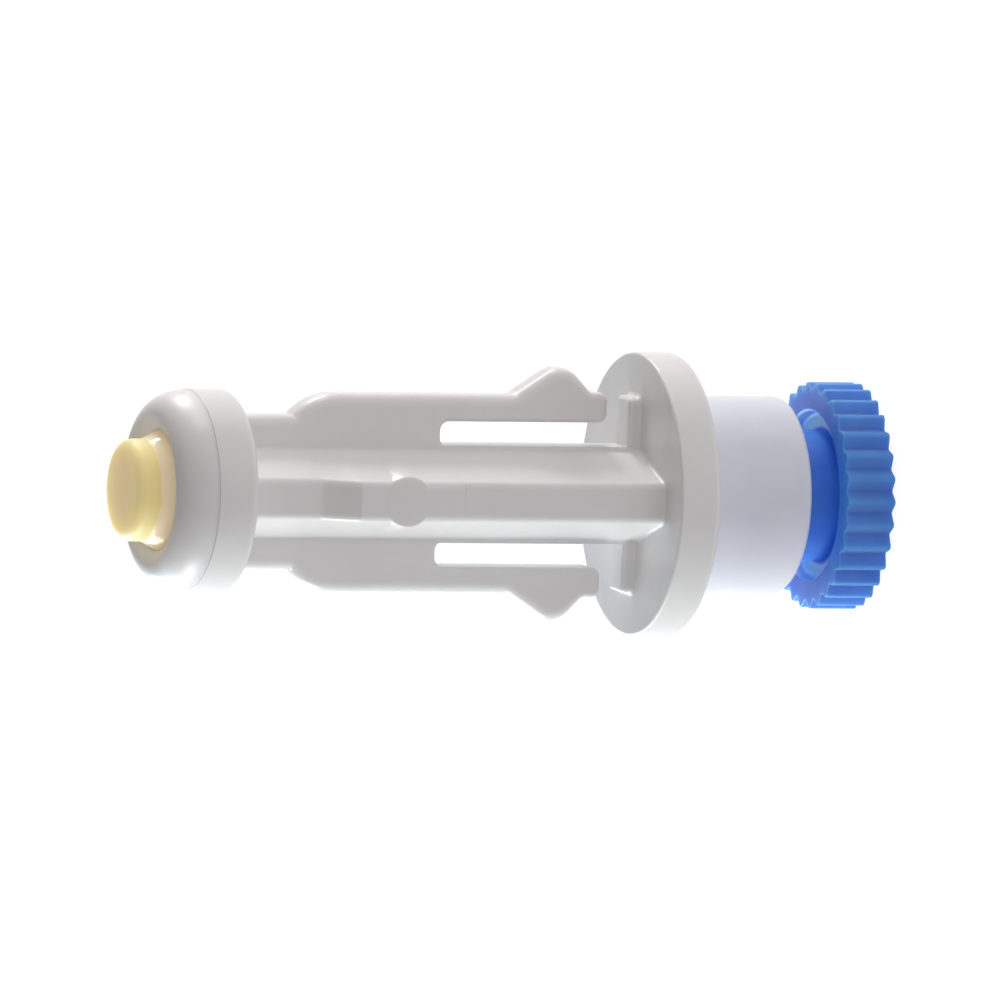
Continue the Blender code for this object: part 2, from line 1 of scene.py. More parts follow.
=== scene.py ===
"""Looks of the infusion connector: its five moulded pieces, their materials, light and camera.

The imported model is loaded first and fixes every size. Each piece below is the same piece at a
finer grain, with the fillets and soft edges of a moulding, and stands for its node of the frame.
Shapes are drawn in millimetres and turned to metres when a piece is finished.
"""

import math

import bmesh
import bpy
from mathutils import Matrix, Vector

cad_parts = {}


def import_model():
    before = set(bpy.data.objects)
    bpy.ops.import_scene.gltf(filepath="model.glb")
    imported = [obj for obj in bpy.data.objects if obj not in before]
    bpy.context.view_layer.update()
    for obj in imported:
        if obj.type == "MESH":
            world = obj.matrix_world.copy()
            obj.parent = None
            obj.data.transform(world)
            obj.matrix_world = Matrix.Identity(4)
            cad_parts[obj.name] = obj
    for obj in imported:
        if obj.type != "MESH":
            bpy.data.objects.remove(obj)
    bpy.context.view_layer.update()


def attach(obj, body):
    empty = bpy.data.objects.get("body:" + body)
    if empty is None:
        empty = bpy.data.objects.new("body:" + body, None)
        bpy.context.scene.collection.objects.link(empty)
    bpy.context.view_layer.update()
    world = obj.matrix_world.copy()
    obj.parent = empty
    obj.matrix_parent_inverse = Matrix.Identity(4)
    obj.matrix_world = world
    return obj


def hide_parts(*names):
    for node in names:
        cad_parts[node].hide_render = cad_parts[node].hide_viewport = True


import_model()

# Heights on the long axis, from the cap's foot to the membrane's face, in millimetres
HUB_FOOT = 1.37
SOCKET_FLOOR = 1.60
LUER_TIP = 2.50
COLLAR_MOUTH = 4.59
LUG = 7.2028
HUB_TOP = 8.25
BEAD_START = 8.55
BEAD_BOTTOM = 9.02
BEAD_TOP = 9.30
WEB = 9.60
COLLAR_BACK = 10.70
FLANGE_BACK = 11.00
FLANGE_FACE = 13.40
STOP_TOP = 14.10
ARM_TIP = 15.40
SLOT_END = 25.27
BOSS_MIDDLE = SLOT_END + 3.45
SHOULDER = 31.30
NECK = 33.955
HEAD = 37.555
NECK_END = HEAD + 1.1
POCKET_FLOOR = 38.915
MEMBRANE = 39.215
HEAD_TOP = 39.975
PART_LINE = HEAD_TOP
CEILING = 40.835
MOUTH = 41.635
CREST = 42.055
SKIRT_TOP = 42.45
MEMBRANE_FACE = 43.705

# Radii, widths and depths, and the cap's own heights
CAP_RADIUS = 6.32
CAP_HEIGHT = 2.80
CAP_TEETH = 30
CAP_TOOTH_DEPTH = 0.50
TOOTH_LAND_SHARE = 0.16
TOOTH_SOFTNESS = 0.13
TOOTH_TURN = math.radians(2.4)
DISC_EDGE = 0.09
TRAY_RADIUS = 4.70
TRAY_FLOOR = 1.97
FOOT_RADIUS = 4.62
FOOT_DEPTH = 0.50
CAP_NECK_RADIUS = 3.67
CAP_NECK_TOP = 4.70
HUB_RADIUS = 3.30
THREAD_RADIUS = 4.00
THREAD_LEAD = 5.00
THREAD_FOOT_HALF = 0.55
THREAD_ROOM = 0.12
COLLAR_RADIUS = 5.50
WEB_BORE = 2.65
LUER_TIP_RADIUS = 1.975
LUER_TAPER = 0.03
SOCKET_ROOM = 0.20
ROOT_RADIUS = 2.50
BEAD_RADIUS = 2.90
LUMEN_RADIUS = 1.05
LUMEN_MOUTH_RADIUS = 2.00
STEM_RADIUS = 2.00
FLANGE_RADIUS = 7.90
STOP_REACH = 5.45
STOP_HALF = 1.05
RIDGE_HALF = 1.06
RIDGE_HEIGHT = 5.40
RIDGE_EDGE = 0.46
PAD_HEIGHT = 5.50
PAD_LINE_DEPTH = 0.04
SLOPE_FOOT = 2.50
SPINE_HALF = 2.72
SLOT_OUTER = 4.05
WING_HALF = 5.55
ARM_HALF = WING_HALF + 0.18
BARB_HALF = WING_HALF + 1.92
WING_SIDE = 1.10
WING_EDGE = 0.70
SLOT_EDGE = 0.28
NECK_RADIUS = 4.33
SHOULDER_RADIUS = 3.50
BOSS_RADIUS = 1.42
HEAD_RADIUS = 5.65
POCKET_RADIUS = 5.00
RETAINER_RADIUS = 5.61
CREST_RADIUS = 4.20
DOME_DROP = 2.14
SPIGOT_RADIUS = 4.85
SPIGOT_BORE = 4.35
MEMBRANE_FLANGE = 4.05
MOUTH_RADIUS = 3.34
PLUG_RADIUS = 2.85

# The core's slopes are hollowed by more than its flare at the flange, or the flare crosses itself
HOLLOW_RADIUS = 0.29
SPINE_FLARE = 0.22

# How far a cutter runs past the face that it opens, and a joined shape past the one it stands on
OVERSHOOT = 0.60

# Grain of the meshes
ROUND_STEPS = 144
SHOULDER_STEPS = 10
DOME_STEPS = 18
ARC_STEP = math.radians(11)
MOST_SETBACK = 0.49
HELIX_STEP = math.radians(5)
SHARP_ANGLE = math.radians(34)
DRAWN_WELD = 0.0005
JOINED_WELD = 0.001

# Shallow waves that the plastic's flow and shrinkage leave in every moulding
FLOW_MM = 3.0
FLOW_DEPTH_MM = 0.10

# How much of the lean of the knurl's flanks is taken out of the cap's shading
FLANK_EVENING = 0.85

# Brightness of the backdrop where it is looked at, and of what it sheds on the connector
FLOOR_LOOKED_AT = 0.88
FLOOR_SHED = 0.25
WORLD_SHED = 0.89

# The lamps' distance and the place on the long axis that they shine at, in metres
LAMP_DISTANCE = 0.36
LAMP_TARGET = Vector((0, 0, 0.021))

MM = 0.001
FLOOR_REACH = 2000
UPRIGHT = Matrix.Rotation(math.pi / 2, 4, "X")


def luer_radius(height):
    """The six per cent cone that every luer fitting shares."""
    return LUER_TIP_RADIUS + LUER_TAPER * (height - LUER_TIP)


def rounded(corners, closed=True, arc_steps=None):
    """The points of an outline of (u, v, radius) corners, with an arc in each rounded corner."""
    points = []
    last = len(corners) - 1
    for index, (u, v, radius) in enumerate(corners):
        corner = Vector((u, v))
        if radius == 0 or (not closed and index in (0, last)):
            points.append(corner)
            continue
        back = Vector(corners[index - 1][:2]) - corner
        ahead = Vector(corners[(index + 1) % len(corners)][:2]) - corner
        turn = math.pi - back.angle(ahead)
        room = MOST_SETBACK * min(back.length, ahead.length)
        setback = min(radius * math.tan(turn / 2), room)
        centre = corner + (back.normalized() + ahead.normalized()).normalized() * (
            setback / math.sin(turn / 2)
        )
        first = corner + back.normalized() * setback - centre
        final = corner + ahead.normalized() * setback - centre
        steps = arc_steps or max(2, math.ceil(turn / ARC_STEP))
        for step in range(steps + 1):
            share = step / steps
            spoke = first * math.sin((1 - share) * turn) + final * math.sin(share * turn)
            points.append(centre + spoke / math.sin(turn))
    return points


def mirrored(corners):
    """A right half, from top to bottom, followed by its mirror image back up."""
    return corners + [(-u, v, radius) for u, v, radius in reversed(corners)]


def inset(outline, distances):
    """A clockwise outline moved inwards by a distance for each point, or outwards below zero."""
    moved = []
    for index, (corner, distance) in enumerate(zip(outline, distances)):
        back = (corner - outline[index - 1]).normalized()
        ahead = (outline[(index + 1) % len(outline)] - corner).normalized()
        inwards = Vector((ahead.y, -ahead.x))
        bisector = (inwards + Vector((back.y, -back.x))).normalized()
        moved.append(corner + bisector * distance / bisector.dot(inwards))
    return moved


def offset(outline, distance):
    """A clockwise outline moved by the same distance all round, inwards above zero."""
    return inset(outline, [distance] * len(outline))


def level(points, height):
    """An outline's points as a ring at one height."""
    return [(point.x, point.y, height) for point in points]


def quarter_turn(steps):
    """Angles from 0 to 90 degrees, both ends in."""
    return [math.pi / 2 * step / steps for step in range(steps + 1)]


def new_object(name, work):
    """A bmesh, drawn in millimetres, as an object."""
    bmesh.ops.remove_doubles(work, verts=work.verts, dist=DRAWN_WELD)
    bmesh.ops.recalc_face_normals(work, faces=work.faces)
    mesh = bpy.data.meshes.new(name)
    work.to_mesh(mesh)
    work.free()
    obj = bpy.data.objects.new(name, mesh)
    bpy.context.scene.collection.objects.link(obj)
    return obj


def turned(name, corners, closed=False):
    """A solid of revolution from a profile that runs outwards from the axis and down."""
    work = bmesh.new()
    rings = []
    for radius, height in rounded(corners, closed):
        if radius < 1e-6:
            rings.append([work.verts.new((0, 0, height))])
            continue
        angles = [math.tau * step / ROUND_STEPS for step in range(ROUND_STEPS)]
        rings.append(
            [work.verts.new((radius * math.cos(a), radius * math.sin(a), height)) for a in angles]
        )
    pairs = list(zip(rings, rings[1:]))
    if closed:
        pairs.append((rings[-1], rings[0]))
    for inner, outer in pairs:
        for step in range(ROUND_STEPS):
            after = (step + 1) % ROUND_STEPS
            corners_of_face = []
            for ring, places in ((inner, (step, after)), (outer, (after, step))):
                is_pole = len(ring) == 1
                corners_of_face += [ring[0]] if is_pole else [ring[place] for place in places]
            if len(corners_of_face) > 2:
                work.faces.new(corners_of_face)
    return new_object(name, work)


def lofted(name, rings):
    """A closed solid through rings that have as many points each."""
    work = bmesh.new()
    rings = [[work.verts.new(place) for place in ring] for ring in rings]
    for upper, lower in zip(rings, rings[1:]):
        for index in range(len(upper)):
            after = (index + 1) % len(upper)
            work.faces.new((upper[index], upper[after], lower[after], lower[index]))
    work.faces.new(rings[0])
    work.faces.new(rings[-1])
    return new_object(name, work)


def plate(name, outline, bottom, top, edges):
    """A clockwise outline as a plate, its rim rounded on both faces by a radius for each point."""
    below = []
    above = []
    for angle in quarter_turn(6):
        moved = inset(outline, [edge * (1 - math.sin(angle)) for edge in edges])
        rises = [edge * (1 - math.cos(angle)) for edge in edges]
        below.append([(p.x, p.y, bottom + rise) for p, rise in zip(moved, rises)])
        above.append([(p.x, p.y, top - rise) for p, rise in zip(moved, rises)])
    return lofted(name, below + above[::-1])


def boss(name, outline, foot, top, fillet, edge):
    """A clockwise outline standing on a face, with a fillet round its foot and a soft top edge."""
    rings = [level(offset(outline, -fillet), foot - 0.5)]
    for angle in quarter_turn(5):
        spread = offset(outline, -fillet * (1 - math.sin(angle)))
        rings.append(level(spread, foot + fillet * (1 - math.cos(angle))))
    for angle in quarter_turn(5):
        drawn_in = offset(outline, edge * (1 - math.cos(angle)))
        rings.append(level(drawn_in, top - edge * (1 - math.sin(angle))))
    return lofted(name, rings)


def helical_rib(name, section, middle, angle_from, angle_to):
    """A (radius, height) section swept along the luer lock's right-hand helix."""
    steps = math.ceil((angle_to - angle_from) / HELIX_STEP)
    work = bmesh.new()
    rings = []
    for step in range(steps + 1):
        angle = angle_from + (angle_to - angle_from) * step / steps
        climb = middle + THREAD_LEAD * angle / math.tau
        out = (math.cos(angle), math.sin(angle))
        rings.append([work.verts.new((u * out[0], u * out[1], climb + v)) for u, v in section])
    for here, there in zip(rings, rings[1:]):
        for index in range(len(section)):
            after = (index + 1) % len(section)
            work.faces.new((here[index], here[after], there[after], there[index]))
    work.faces.new(rings[0])
    work.faces.new(rings[-1])
    return new_object(name, work)


def combined(piece, added=(), cut=()):
    """The piece with the added shapes joined on and the cut shapes taken out."""
    for tools, operation in ((added, "UNION"), (cut, "DIFFERENCE")):
        for tool in tools:
            boolean = piece.modifiers.new(tool.name, "BOOLEAN")
            boolean.object = tool
            boolean.operation = operation
            boolean.solver = "EXACT"
    graph = bpy.context.evaluated_depsgraph_get()
    mesh = bpy.data.meshes.new_from_object(piece.evaluated_get(graph))
    piece.modifiers.clear()
    piece.data = mesh
    for tool in (*added, *cut):
        bpy.data.objects.remove(tool, do_unlink=True)
    return piece


def finished(piece, material, body, node):
    """Turns a piece to metres, shades it, and gives it its material and its place in the frame."""
    work = bmesh.new()
    work.from_mesh(piece.data)
    bmesh.ops.remove_doubles(work, verts=work.verts, dist=JOINED_WELD)
    work.to_mesh(piece.data)
    work.free()
    piece.data.transform(Matrix.Scale(MM, 4))
    piece.data.shade_smooth()
    piece.data.set_sharp_from_angle(angle=SHARP_ANGLE)
    weighted = piece.modifiers.new("Even shading", "WEIGHTED_NORMAL")
    weighted.keep_sharp = True
    weighted.weight = 60
    piece.data.materials.clear()
    piece.data.materials.append(material)
    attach(piece, body)
    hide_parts(node)
    return piece


def linear(colour):
    """An sRGB hex colour as the linear RGBA that a shader takes."""
    channels = [int(colour[place : place + 2], 16) / 255 for place in (1, 3, 5)]
    turned_linear = [c / 12.92 if c <= 0.04045 else ((c + 0.055) / 1.055) ** 2.4 for c in channels]
    return (*turned_linear, 1)


def add_node(tree, kind, settings=None, inputs=None, links=None):
    """Adds a node with its settings, its inputs' values, and its links from (node, output)."""
    made = tree.nodes.new(kind)
    for name, value in (settings or {}).items():
        setattr(made, name, value)
    for name, value in (inputs or {}).items():
        made.inputs[name].default_value = value
    for name, (source, output) in (links or {}).items():
        tree.links.new(source.outputs[output], made.inputs[name])
    return made


def moulded(name, colour, deeper, surface, grain_mm, grain_depth_mm, cloud_mm):
    """A moulded plastic or rubber: a cloudy colour, a fine grain and the surface's own values."""
    made = bpy.data.materials.new(name)
    made.use_nodes = True
    tree = made.node_tree
    shader = tree.nodes["Principled BSDF"]
    for socket, value in surface.items():
        shader.inputs[socket].default_value = value
    place = add_node(tree, "ShaderNodeTexCoord")
    clouds = add_node(
        tree,
        "ShaderNodeTexNoise",
        inputs={"Scale": 1 / (cloud_mm * MM), "Detail": 2.0, "Roughness": 0.5},
        links={"Vector": (place, "Object")},
    )
    tint = add_node(
        tree,
        "ShaderNodeMix",
        settings={"data_type": "RGBA"},
        inputs={6: linear(colour), 7: linear(deeper)},
        links={"Factor": (clouds, "Fac")},
    )
    grain = add_node(
        tree,
        "ShaderNodeTexNoise",
        inputs={"Scale": 1 / (grain_mm * MM), "Detail": 3.0, "Roughness": 0.6},
        links={"Vector": (place, "Object")},
    )
    flow = add_node(
        tree,
        "ShaderNodeTexNoise",
        inputs={"Scale": 1 / (FLOW_MM * MM), "Detail": 1.0},
        links={"Vector": (place, "Object")},
    )
    waves = add_node(
        tree,
        "ShaderNodeBump",
        inputs={"Strength": 1.0, "Distance": FLOW_DEPTH_MM * MM},
        links={"Height": (flow, "Fac")},
    )
    bump = add_node(
        tree,
        "ShaderNodeBump",
        inputs={"Strength": 1.0, "Distance": grain_depth_mm * MM},
        links={"Height": (grain, "Fac"), "Normal": (waves, "Normal")},
    )
    tree.links.new(tint.outputs[2], shader.inputs["Base Color"])
    tree.links.new(bump.outputs["Normal"], shader.inputs["Normal"])
    return made


def white_abs():
    """ABS, moulded in a lightly spark-eroded tool: an opaque warm white with a soft satin sheen."""
    return moulded(
        "white_abs",
        "#e6e4e3",
        "#e0dedd",
        {"Roughness": 0.34, "IOR": 1.54, "Subsurface Weight": 0.25, "Subsurface Scale": 0.0006,
         "Subsurface Radius": (1.0, 0.9, 0.85)},
        grain_mm=0.14,
        grain_depth_mm=0.004,
        cloud_mm=5.0,
    )


def white_polished_abs():
    """The same ABS from a polished tool: smoother, so the dome takes a soft highlight."""
    return moulded(
        "white_polished_abs",
        "#e4e2e1",
        "#dedbdb",
        {"Roughness": 0.38, "IOR": 1.54, "Subsurface Weight": 0.3, "Subsurface Scale": 0.0006,
         "Subsurface Radius": (1.0, 0.9, 0.85)},
        grain_mm=0.25,
        grain_depth_mm=0.002,
        cloud_mm=3.0,
    )


def natural_polypropylene():
    """Unpigmented polypropylene, moulded: milky and faintly blue where light passes through it."""
    return moulded(
        "natural_polypropylene",
        "#e3e4ec",
        "#dadbe6",
        {"Roughness": 0.34, "IOR": 1.49, "Subsurface Weight": 0.6, "Subsurface Scale": 0.0012,
         "Subsurface Radius": (0.8, 0.85, 1.0)},
        grain_mm=0.20,
        grain_depth_mm=0.002,
        cloud_mm=4.0,
    )


def blue_polyethylene():
    """Polyethylene tinted blue, moulded: waxy and deep where it is solid, with painted light making
    the thin tray floor pale.

    Light inside the real cap evens out its knurl, so the shading leans each flank back a good way
    towards the round disc that the teeth are cut in.
    """
    made = moulded(
        "blue_polyethylene",
        "#ffffff",
        "#d2dcee",
        {"Roughness": 0.42, "IOR": 1.51, "Subsurface Weight": 1.0, "Subsurface Scale": 0.0024,
         "Subsurface Radius": (0.4, 0.6, 1.0)},
        grain_mm=0.30,
        grain_depth_mm=0.004,
        cloud_mm=1.6,
    )
    tree = made.node_tree
    shader = tree.nodes["Principled BSDF"]
    tint = shader.inputs["Base Color"].links[0].from_node
    place = add_node(tree, "ShaderNodeTexCoord")
    flat = add_node(
        tree,
        "ShaderNodeVectorMath",
        settings={"operation": "MULTIPLY"},
        inputs={1: (1, 1, 0)},
        links={0: (place, "Object")},
    )
    radius = add_node(
        tree, "ShaderNodeVectorMath", settings={"operation": "LENGTH"}, links={0: (flat, "Vector")}
    )
    share = add_node(
        tree,
        "ShaderNodeMapRange",
        inputs={"From Min": 0.0, "From Max": CAP_RADIUS * MM},
        links={"Value": (radius, "Value")},
    )
    # Painted light: the thin tray floor goes almost white, for light shining through it, over a
    # deeper blue on the solid neck and disc
    colour_and_painted_tray_light = add_node(tree, "ShaderNodeValToRGB", links={"Fac": (share, "Result")})
    stops = colour_and_painted_tray_light.color_ramp.elements
    stops[0].position = (CAP_NECK_RADIUS + 0.02) / CAP_RADIUS
    stops[0].color = linear("#4489ee")
    stops[1].position = 1.0
    stops[1].color = linear("#5596e0")
    tray_floor = (CAP_NECK_RADIUS + 0.23, TRAY_RADIUS - 0.10)
    tray_rim = TRAY_RADIUS + 0.15
    for reach in tray_floor:
        stops.new(reach / CAP_RADIUS).color = linear("#ecffff")
    stops.new(tray_rim / CAP_RADIUS).color = linear("#5093e2")
    tint_times_painted_tray_light = add_node(
        tree,
        "ShaderNodeMix",
        settings={"data_type": "RGBA", "blend_type": "MULTIPLY"},
        inputs={"Factor": 1.0},
        links={6: (tint, 2), 7: (colour_and_painted_tray_light, "Color")},
    )
    tree.links.new(tint_times_painted_tray_light.outputs[2], shader.inputs["Base Color"])
    surface = add_node(tree, "ShaderNodeNewGeometry")
    around = add_node(
        tree,
        "ShaderNodeVectorMath",
        settings={"operation": "CROSS_PRODUCT"},
        inputs={0: (0, 0, 1)},
        links={1: (flat, "Vector")},
    )
    tangent = add_node(
        tree,
        "ShaderNodeVectorMath",
        settings={"operation": "NORMALIZE"},
        links={0: (around, "Vector")},
    )
    lean = add_node(
        tree,
        "ShaderNodeVectorMath",
        settings={"operation": "DOT_PRODUCT"},
        links={0: (surface, "Normal"), 1: (tangent, "Vector")},
    )
    taken_out = add_node(
        tree,
        "ShaderNodeMath",
        settings={"operation": "MULTIPLY"},
        inputs={1: -FLANK_EVENING},
        links={0: (lean, "Value")},
    )
    straightening = add_node(
        tree,
        "ShaderNodeVectorMath",
        settings={"operation": "SCALE"},
        links={0: (tangent, "Vector"), "Scale": (taken_out, "Value")},
    )
    evened = add_node(
        tree,
        "ShaderNodeVectorMath",
        settings={"operation": "ADD"},
        links={0: (surface, "Normal"), 1: (straightening, "Vector")},
    )
    unit = add_node(
        tree,
        "ShaderNodeVectorMath",
        settings={"operation": "NORMALIZE"},
        links={0: (evened, "Vector")},
    )
    grain = shader.inputs["Normal"].links[0].from_node
    waves = grain.inputs["Normal"].links[0].from_node
    tree.links.new(unit.outputs["Vector"], waves.inputs["Normal"])
    return made


def yellow_polyisoprene():
    """Polyisoprene rubber, moulded: clear pale yellow, with a paler and glossier thin skirt.

    Its faint glow is painted light, for the light that the clear rubber carries in from its lit
    sides.
    """
    # The emission is a painted glow, for light that the rubber carries in from its lit sides
    made = moulded(
        "yellow_polyisoprene",
        "#f0dda0",
        "#ebd695",
        {"IOR": 1.52, "Subsurface Weight": 1.0, "Subsurface Scale": 0.0030,
         "Subsurface Radius": (1.0, 0.8, 0.5), "Emission Color": linear("#fae6a8"),
         "Emission Strength": 0.17},
        grain_mm=0.30,
        grain_depth_mm=0.002,
        cloud_mm=2.0,
    )
    tree = made.node_tree
    shader = tree.nodes["Principled BSDF"]
    tint = shader.inputs["Base Color"].links[0].from_node
    ripple_mm = 0.9
    ripple_height_mm = 0.5
    place = add_node(tree, "ShaderNodeTexCoord")
    height = add_node(tree, "ShaderNodeSeparateXYZ", links={"Vector": (place, "Object")})
    ripple = add_node(
        tree,
        "ShaderNodeTexNoise",
        inputs={"Scale": 1 / (ripple_mm * MM), "Detail": 1.0},
        links={"Vector": (place, "Object")},
    )
    edge = add_node(
        tree,
        "ShaderNodeMath",
        settings={"operation": "MULTIPLY_ADD"},
        inputs={1: ripple_height_mm * MM},
        links={0: (ripple, "Fac"), 2: (height, "Z")},
    )
    skirt = add_node(
        tree,
        "ShaderNodeMapRange",
        settings={"interpolation_type": "SMOOTHSTEP"},
        inputs={"From Min": (SKIRT_TOP + 0.10) * MM, "From Max": (SKIRT_TOP + 0.30) * MM,
                "To Min": 1.0, "To Max": 0.0},
        links={"Value": (edge, "Value")},
    )
    colour = add_node(
        tree,
        "ShaderNodeMix",
        settings={"data_type": "RGBA"},
        inputs={7: linear("#f4e2c8")},
        links={"Factor": (skirt, "Result"), 6: (tint, 2)},
    )
    wetness = add_node(
        tree,
        "ShaderNodeMapRange",
        inputs={"To Min": 0.48, "To Max": 0.14},
        links={"Value": (skirt, "Result")},
    )
    tree.links.new(colour.outputs[2], shader.inputs["Base Color"])
    tree.links.new(wetness.outputs["Result"], shader.inputs["Roughness"])
    return made


def spine_section(height):
    """Across the long axis: a ridge at the front and the back, hollowed out to the wings' faces."""
    ledge = WING_SIDE - 0.03
    beyond = SPINE_HALF + 1
    slope = [(RIDGE_HALF, height, 0), (SLOPE_FOOT, ledge, HOLLOW_RADIUS), (beyond, ledge, 0)]
    hollow = [(point.x, point.y, 0) for point in rounded(slope, False, arc_steps=7)[1:-1]]
    ridge = [(RIDGE_HALF, height, RIDGE_EDGE), *hollow, (SPINE_HALF, ledge, 0)]
    half = ridge + [(x, -y, radius) for x, y, radius in reversed(ridge)]
    return rounded(mirrored(half), arc_steps=7)


def spine():
    """The core with both ridges, a fine line across each, flared where it meets the flange."""
    ramp_top = NECK - 0.60
    pad_end = SLOT_END + 0.22
    line_floor = RIDGE_HEIGHT - PAD_LINE_DEPTH
    root = FLANGE_FACE - OVERSHOOT
    heights = rounded(
        [
            (NECK_RADIUS, NECK_END, 0),
            (NECK_RADIUS, ramp_top, 0.60),
            (PAD_HEIGHT, ramp_top - 1.85, 0.22),
            (PAD_HEIGHT, pad_end, 0.02),
            (line_floor, pad_end - 0.03, 0.02),
            (line_floor, pad_end - 0.15, 0.02),
            (RIDGE_HEIGHT, pad_end - 0.20, 0.02),
            (RIDGE_HEIGHT, root, 0),
        ],
        closed=False,
        arc_steps=5,
    )
    rings = [level(spine_section(point.x), point.y) for point in heights[:-1]]
    foot = spine_section(RIDGE_HEIGHT)
    for angle in quarter_turn(5):
        spread = offset(foot, -SPINE_FLARE * (1 - math.cos(angle)))
        rings.append(level(spread, FLANGE_FACE + SPINE_FLARE * (1 - math.sin(angle))))
    rings.append(level(offset(foot, -SPINE_FLARE), root))
    return lofted("spine", rings)


def wing_rim(point):
    """How far the wings' rim is rounded at a point of their outline."""
    if abs(point.x) < SLOT_OUTER + 0.01 and point.y < SLOT_END + 0.01:
        return SLOT_EDGE
    share = min(1, max(0, (point.y - ARM_TIP - 0.5) / 2.0))
    return SLOT_EDGE + (WING_EDGE - SLOT_EDGE) * share


def wings():
    """Both wings as one plate: neck, shoulders, latch arms and the slots behind them."""
    shoulder_turn = math.acos(1 - (WING_HALF - NECK_RADIUS) / SHOULDER_RADIUS)
    shoulder = []
    for step in range(SHOULDER_STEPS + 1):
        angle = shoulder_turn * (1 - step / SHOULDER_STEPS)
        shoulder.append(
            (
                WING_HALF - SHOULDER_RADIUS + SHOULDER_RADIUS * math.cos(angle),
                SHOULDER + SHOULDER_RADIUS * math.sin(angle),
                0,
            )
        )
    half = [
        (NECK_RADIUS, NECK_END, 0),
        *shoulder,
        (WING_HALF, ARM_TIP + 5.50, 1.00),
        (BARB_HALF, ARM_TIP + 2.55, 1.45),
        (ARM_HALF, ARM_TIP + 1.00, 0.50),
        (ARM_HALF, ARM_TIP, 0.50),
        (SLOT_OUTER, ARM_TIP, 0.50),
        (SLOT_OUTER, SLOT_END, 0.50),
        (SPINE_HALF - 0.075, SLOT_END, 0.50),
        (SPINE_HALF - 0.075, SLOT_END - 1.0, 0),
        (0.9, SLOT_END - 1.0, 0),
    ]
    outline = rounded(mirrored(half))
    made = plate("wings", outline, -WING_SIDE, WING_SIDE, [wing_rim(point) for point in outline])
    made.data.transform(UPRIGHT)
    return made


def ridge_boss():
    """The low round boss through both ridges, with a skirt that runs out on the slopes."""
    reach = PAD_HEIGHT + 0.01
    side = [(BOSS_RADIUS, reach, 0.15), (1.66, 4.2, 1.5), (2.12, 2.1, 0)]
    below = [(radius, -height, softness) for radius, height, softness in reversed(side)]
    made = turned("ridge_boss", [(0, reach, 0), *side, *below, (0, -reach, 0)])
    made.data.transform(Matrix.Translation((0, 0, BOSS_MIDDLE)) @ UPRIGHT)
    return made


def stop_blocks():
    """The two low blocks on the flange's face, with the fillets that a moulding has."""
    corners = [(STOP_REACH, STOP_HALF, 0.32), (STOP_REACH, -STOP_HALF, 0.32)]
    outline = rounded(mirrored(corners))
    return boss("stop_blocks", outline, FLANGE_FACE, STOP_TOP, fillet=0.28, edge=0.24)


def housing():
    """The one-piece housing, from the luer spigot to the head."""
    core = turned(
        "housing_moulding",
        [
            (0, HEAD_TOP, 0),
            (HEAD_RADIUS, HEAD_TOP, 0.06),
            (HEAD_RADIUS, HEAD, 0.50),
            (STEM_RADIUS, HEAD, 0),
            (STEM_RADIUS, FLANGE_FACE, 0),
            (FLANGE_RADIUS, FLANGE_FACE, 0.16),
            (FLANGE_RADIUS, FLANGE_BACK, 0.40),
            (ROOT_RADIUS, FLANGE_BACK, 0),
            (ROOT_RADIUS, BEAD_TOP, 0),
            (BEAD_RADIUS, BEAD_TOP, 0.08),
            (BEAD_RADIUS, BEAD_BOTTOM, 0.12),
            (luer_radius(BEAD_START), BEAD_START, 0.2),
            (LUER_TIP_RADIUS, LUER_TIP, 0.20),
            (0, LUER_TIP, 0),
        ],
    )
    bore = turned(
        "flow_path",
        [
            (0, HEAD_TOP + OVERSHOOT, 0),
            (POCKET_RADIUS, HEAD_TOP + OVERSHOOT, 0),
            (POCKET_RADIUS, POCKET_FLOOR, 0),
            (LUMEN_MOUTH_RADIUS, POCKET_FLOOR, 0),
            (LUMEN_RADIUS, POCKET_FLOOR - 1.3, 0),
            (LUMEN_RADIUS, LUER_TIP - OVERSHOOT, 0),
            (0, LUER_TIP - OVERSHOOT, 0),
        ],
    )
    made = combined(core, added=[spine(), ridge_boss(), wings(), stop_blocks()], cut=[bore])
    return finished(made, white_abs(), "connector", "housing")


def retainer():
    """The domed ring that holds the membrane in the head."""
    full_turn = math.acos(1 - (CREST - PART_LINE) / DOME_DROP)
    dome = []
    for step in range(DOME_STEPS + 1):
        turn = full_turn * step / DOME_STEPS
        reach = (RETAINER_RADIUS - CREST_RADIUS) * (1 - math.sin(turn) / math.sin(full_turn))
        dome.append((RETAINER_RADIUS - reach, CREST - DOME_DROP * (1 - math.cos(turn)), 0))
    made = turned(
        "retainer_moulding",
        [
            (MOUTH_RADIUS, MOUTH, 0.15),
            *dome,
            (SPIGOT_RADIUS, PART_LINE, 0),
            (SPIGOT_RADIUS, MEMBRANE, 0),
            (SPIGOT_BORE, MEMBRANE, 0),
            (SPIGOT_BORE, CEILING, 0),
            (MOUTH_RADIUS, CEILING, 0),
        ],
        closed=True,
    )
    plastic = white_polished_abs()
    return finished(made, plastic, "connector", "membrane_retainer")


def membrane():
    """The rubber membrane: a plug that stands out of the nose, its thin skirt down to the mouth."""
    made = turned(
        "membrane_moulding",
        [
            (0, MEMBRANE_FACE, 0),
            (PLUG_RADIUS, MEMBRANE_FACE, 0.75),
            (PLUG_RADIUS, SKIRT_TOP, 0.30),
            (MOUTH_RADIUS - 0.10, MOUTH + 0.12, 0.10),
            (MOUTH_RADIUS + 0.02, MOUTH - 0.10, 0),
            (MOUTH_RADIUS + 0.02, CEILING - 0.3, 0),
            (MEMBRANE_FLANGE, CEILING - 0.3, 0),
            (MEMBRANE_FLANGE, MEMBRANE, 0),
            (0, MEMBRANE, 0),
        ],
    )
    return finished(made, yellow_polyisoprene(), "connector", "membrane")


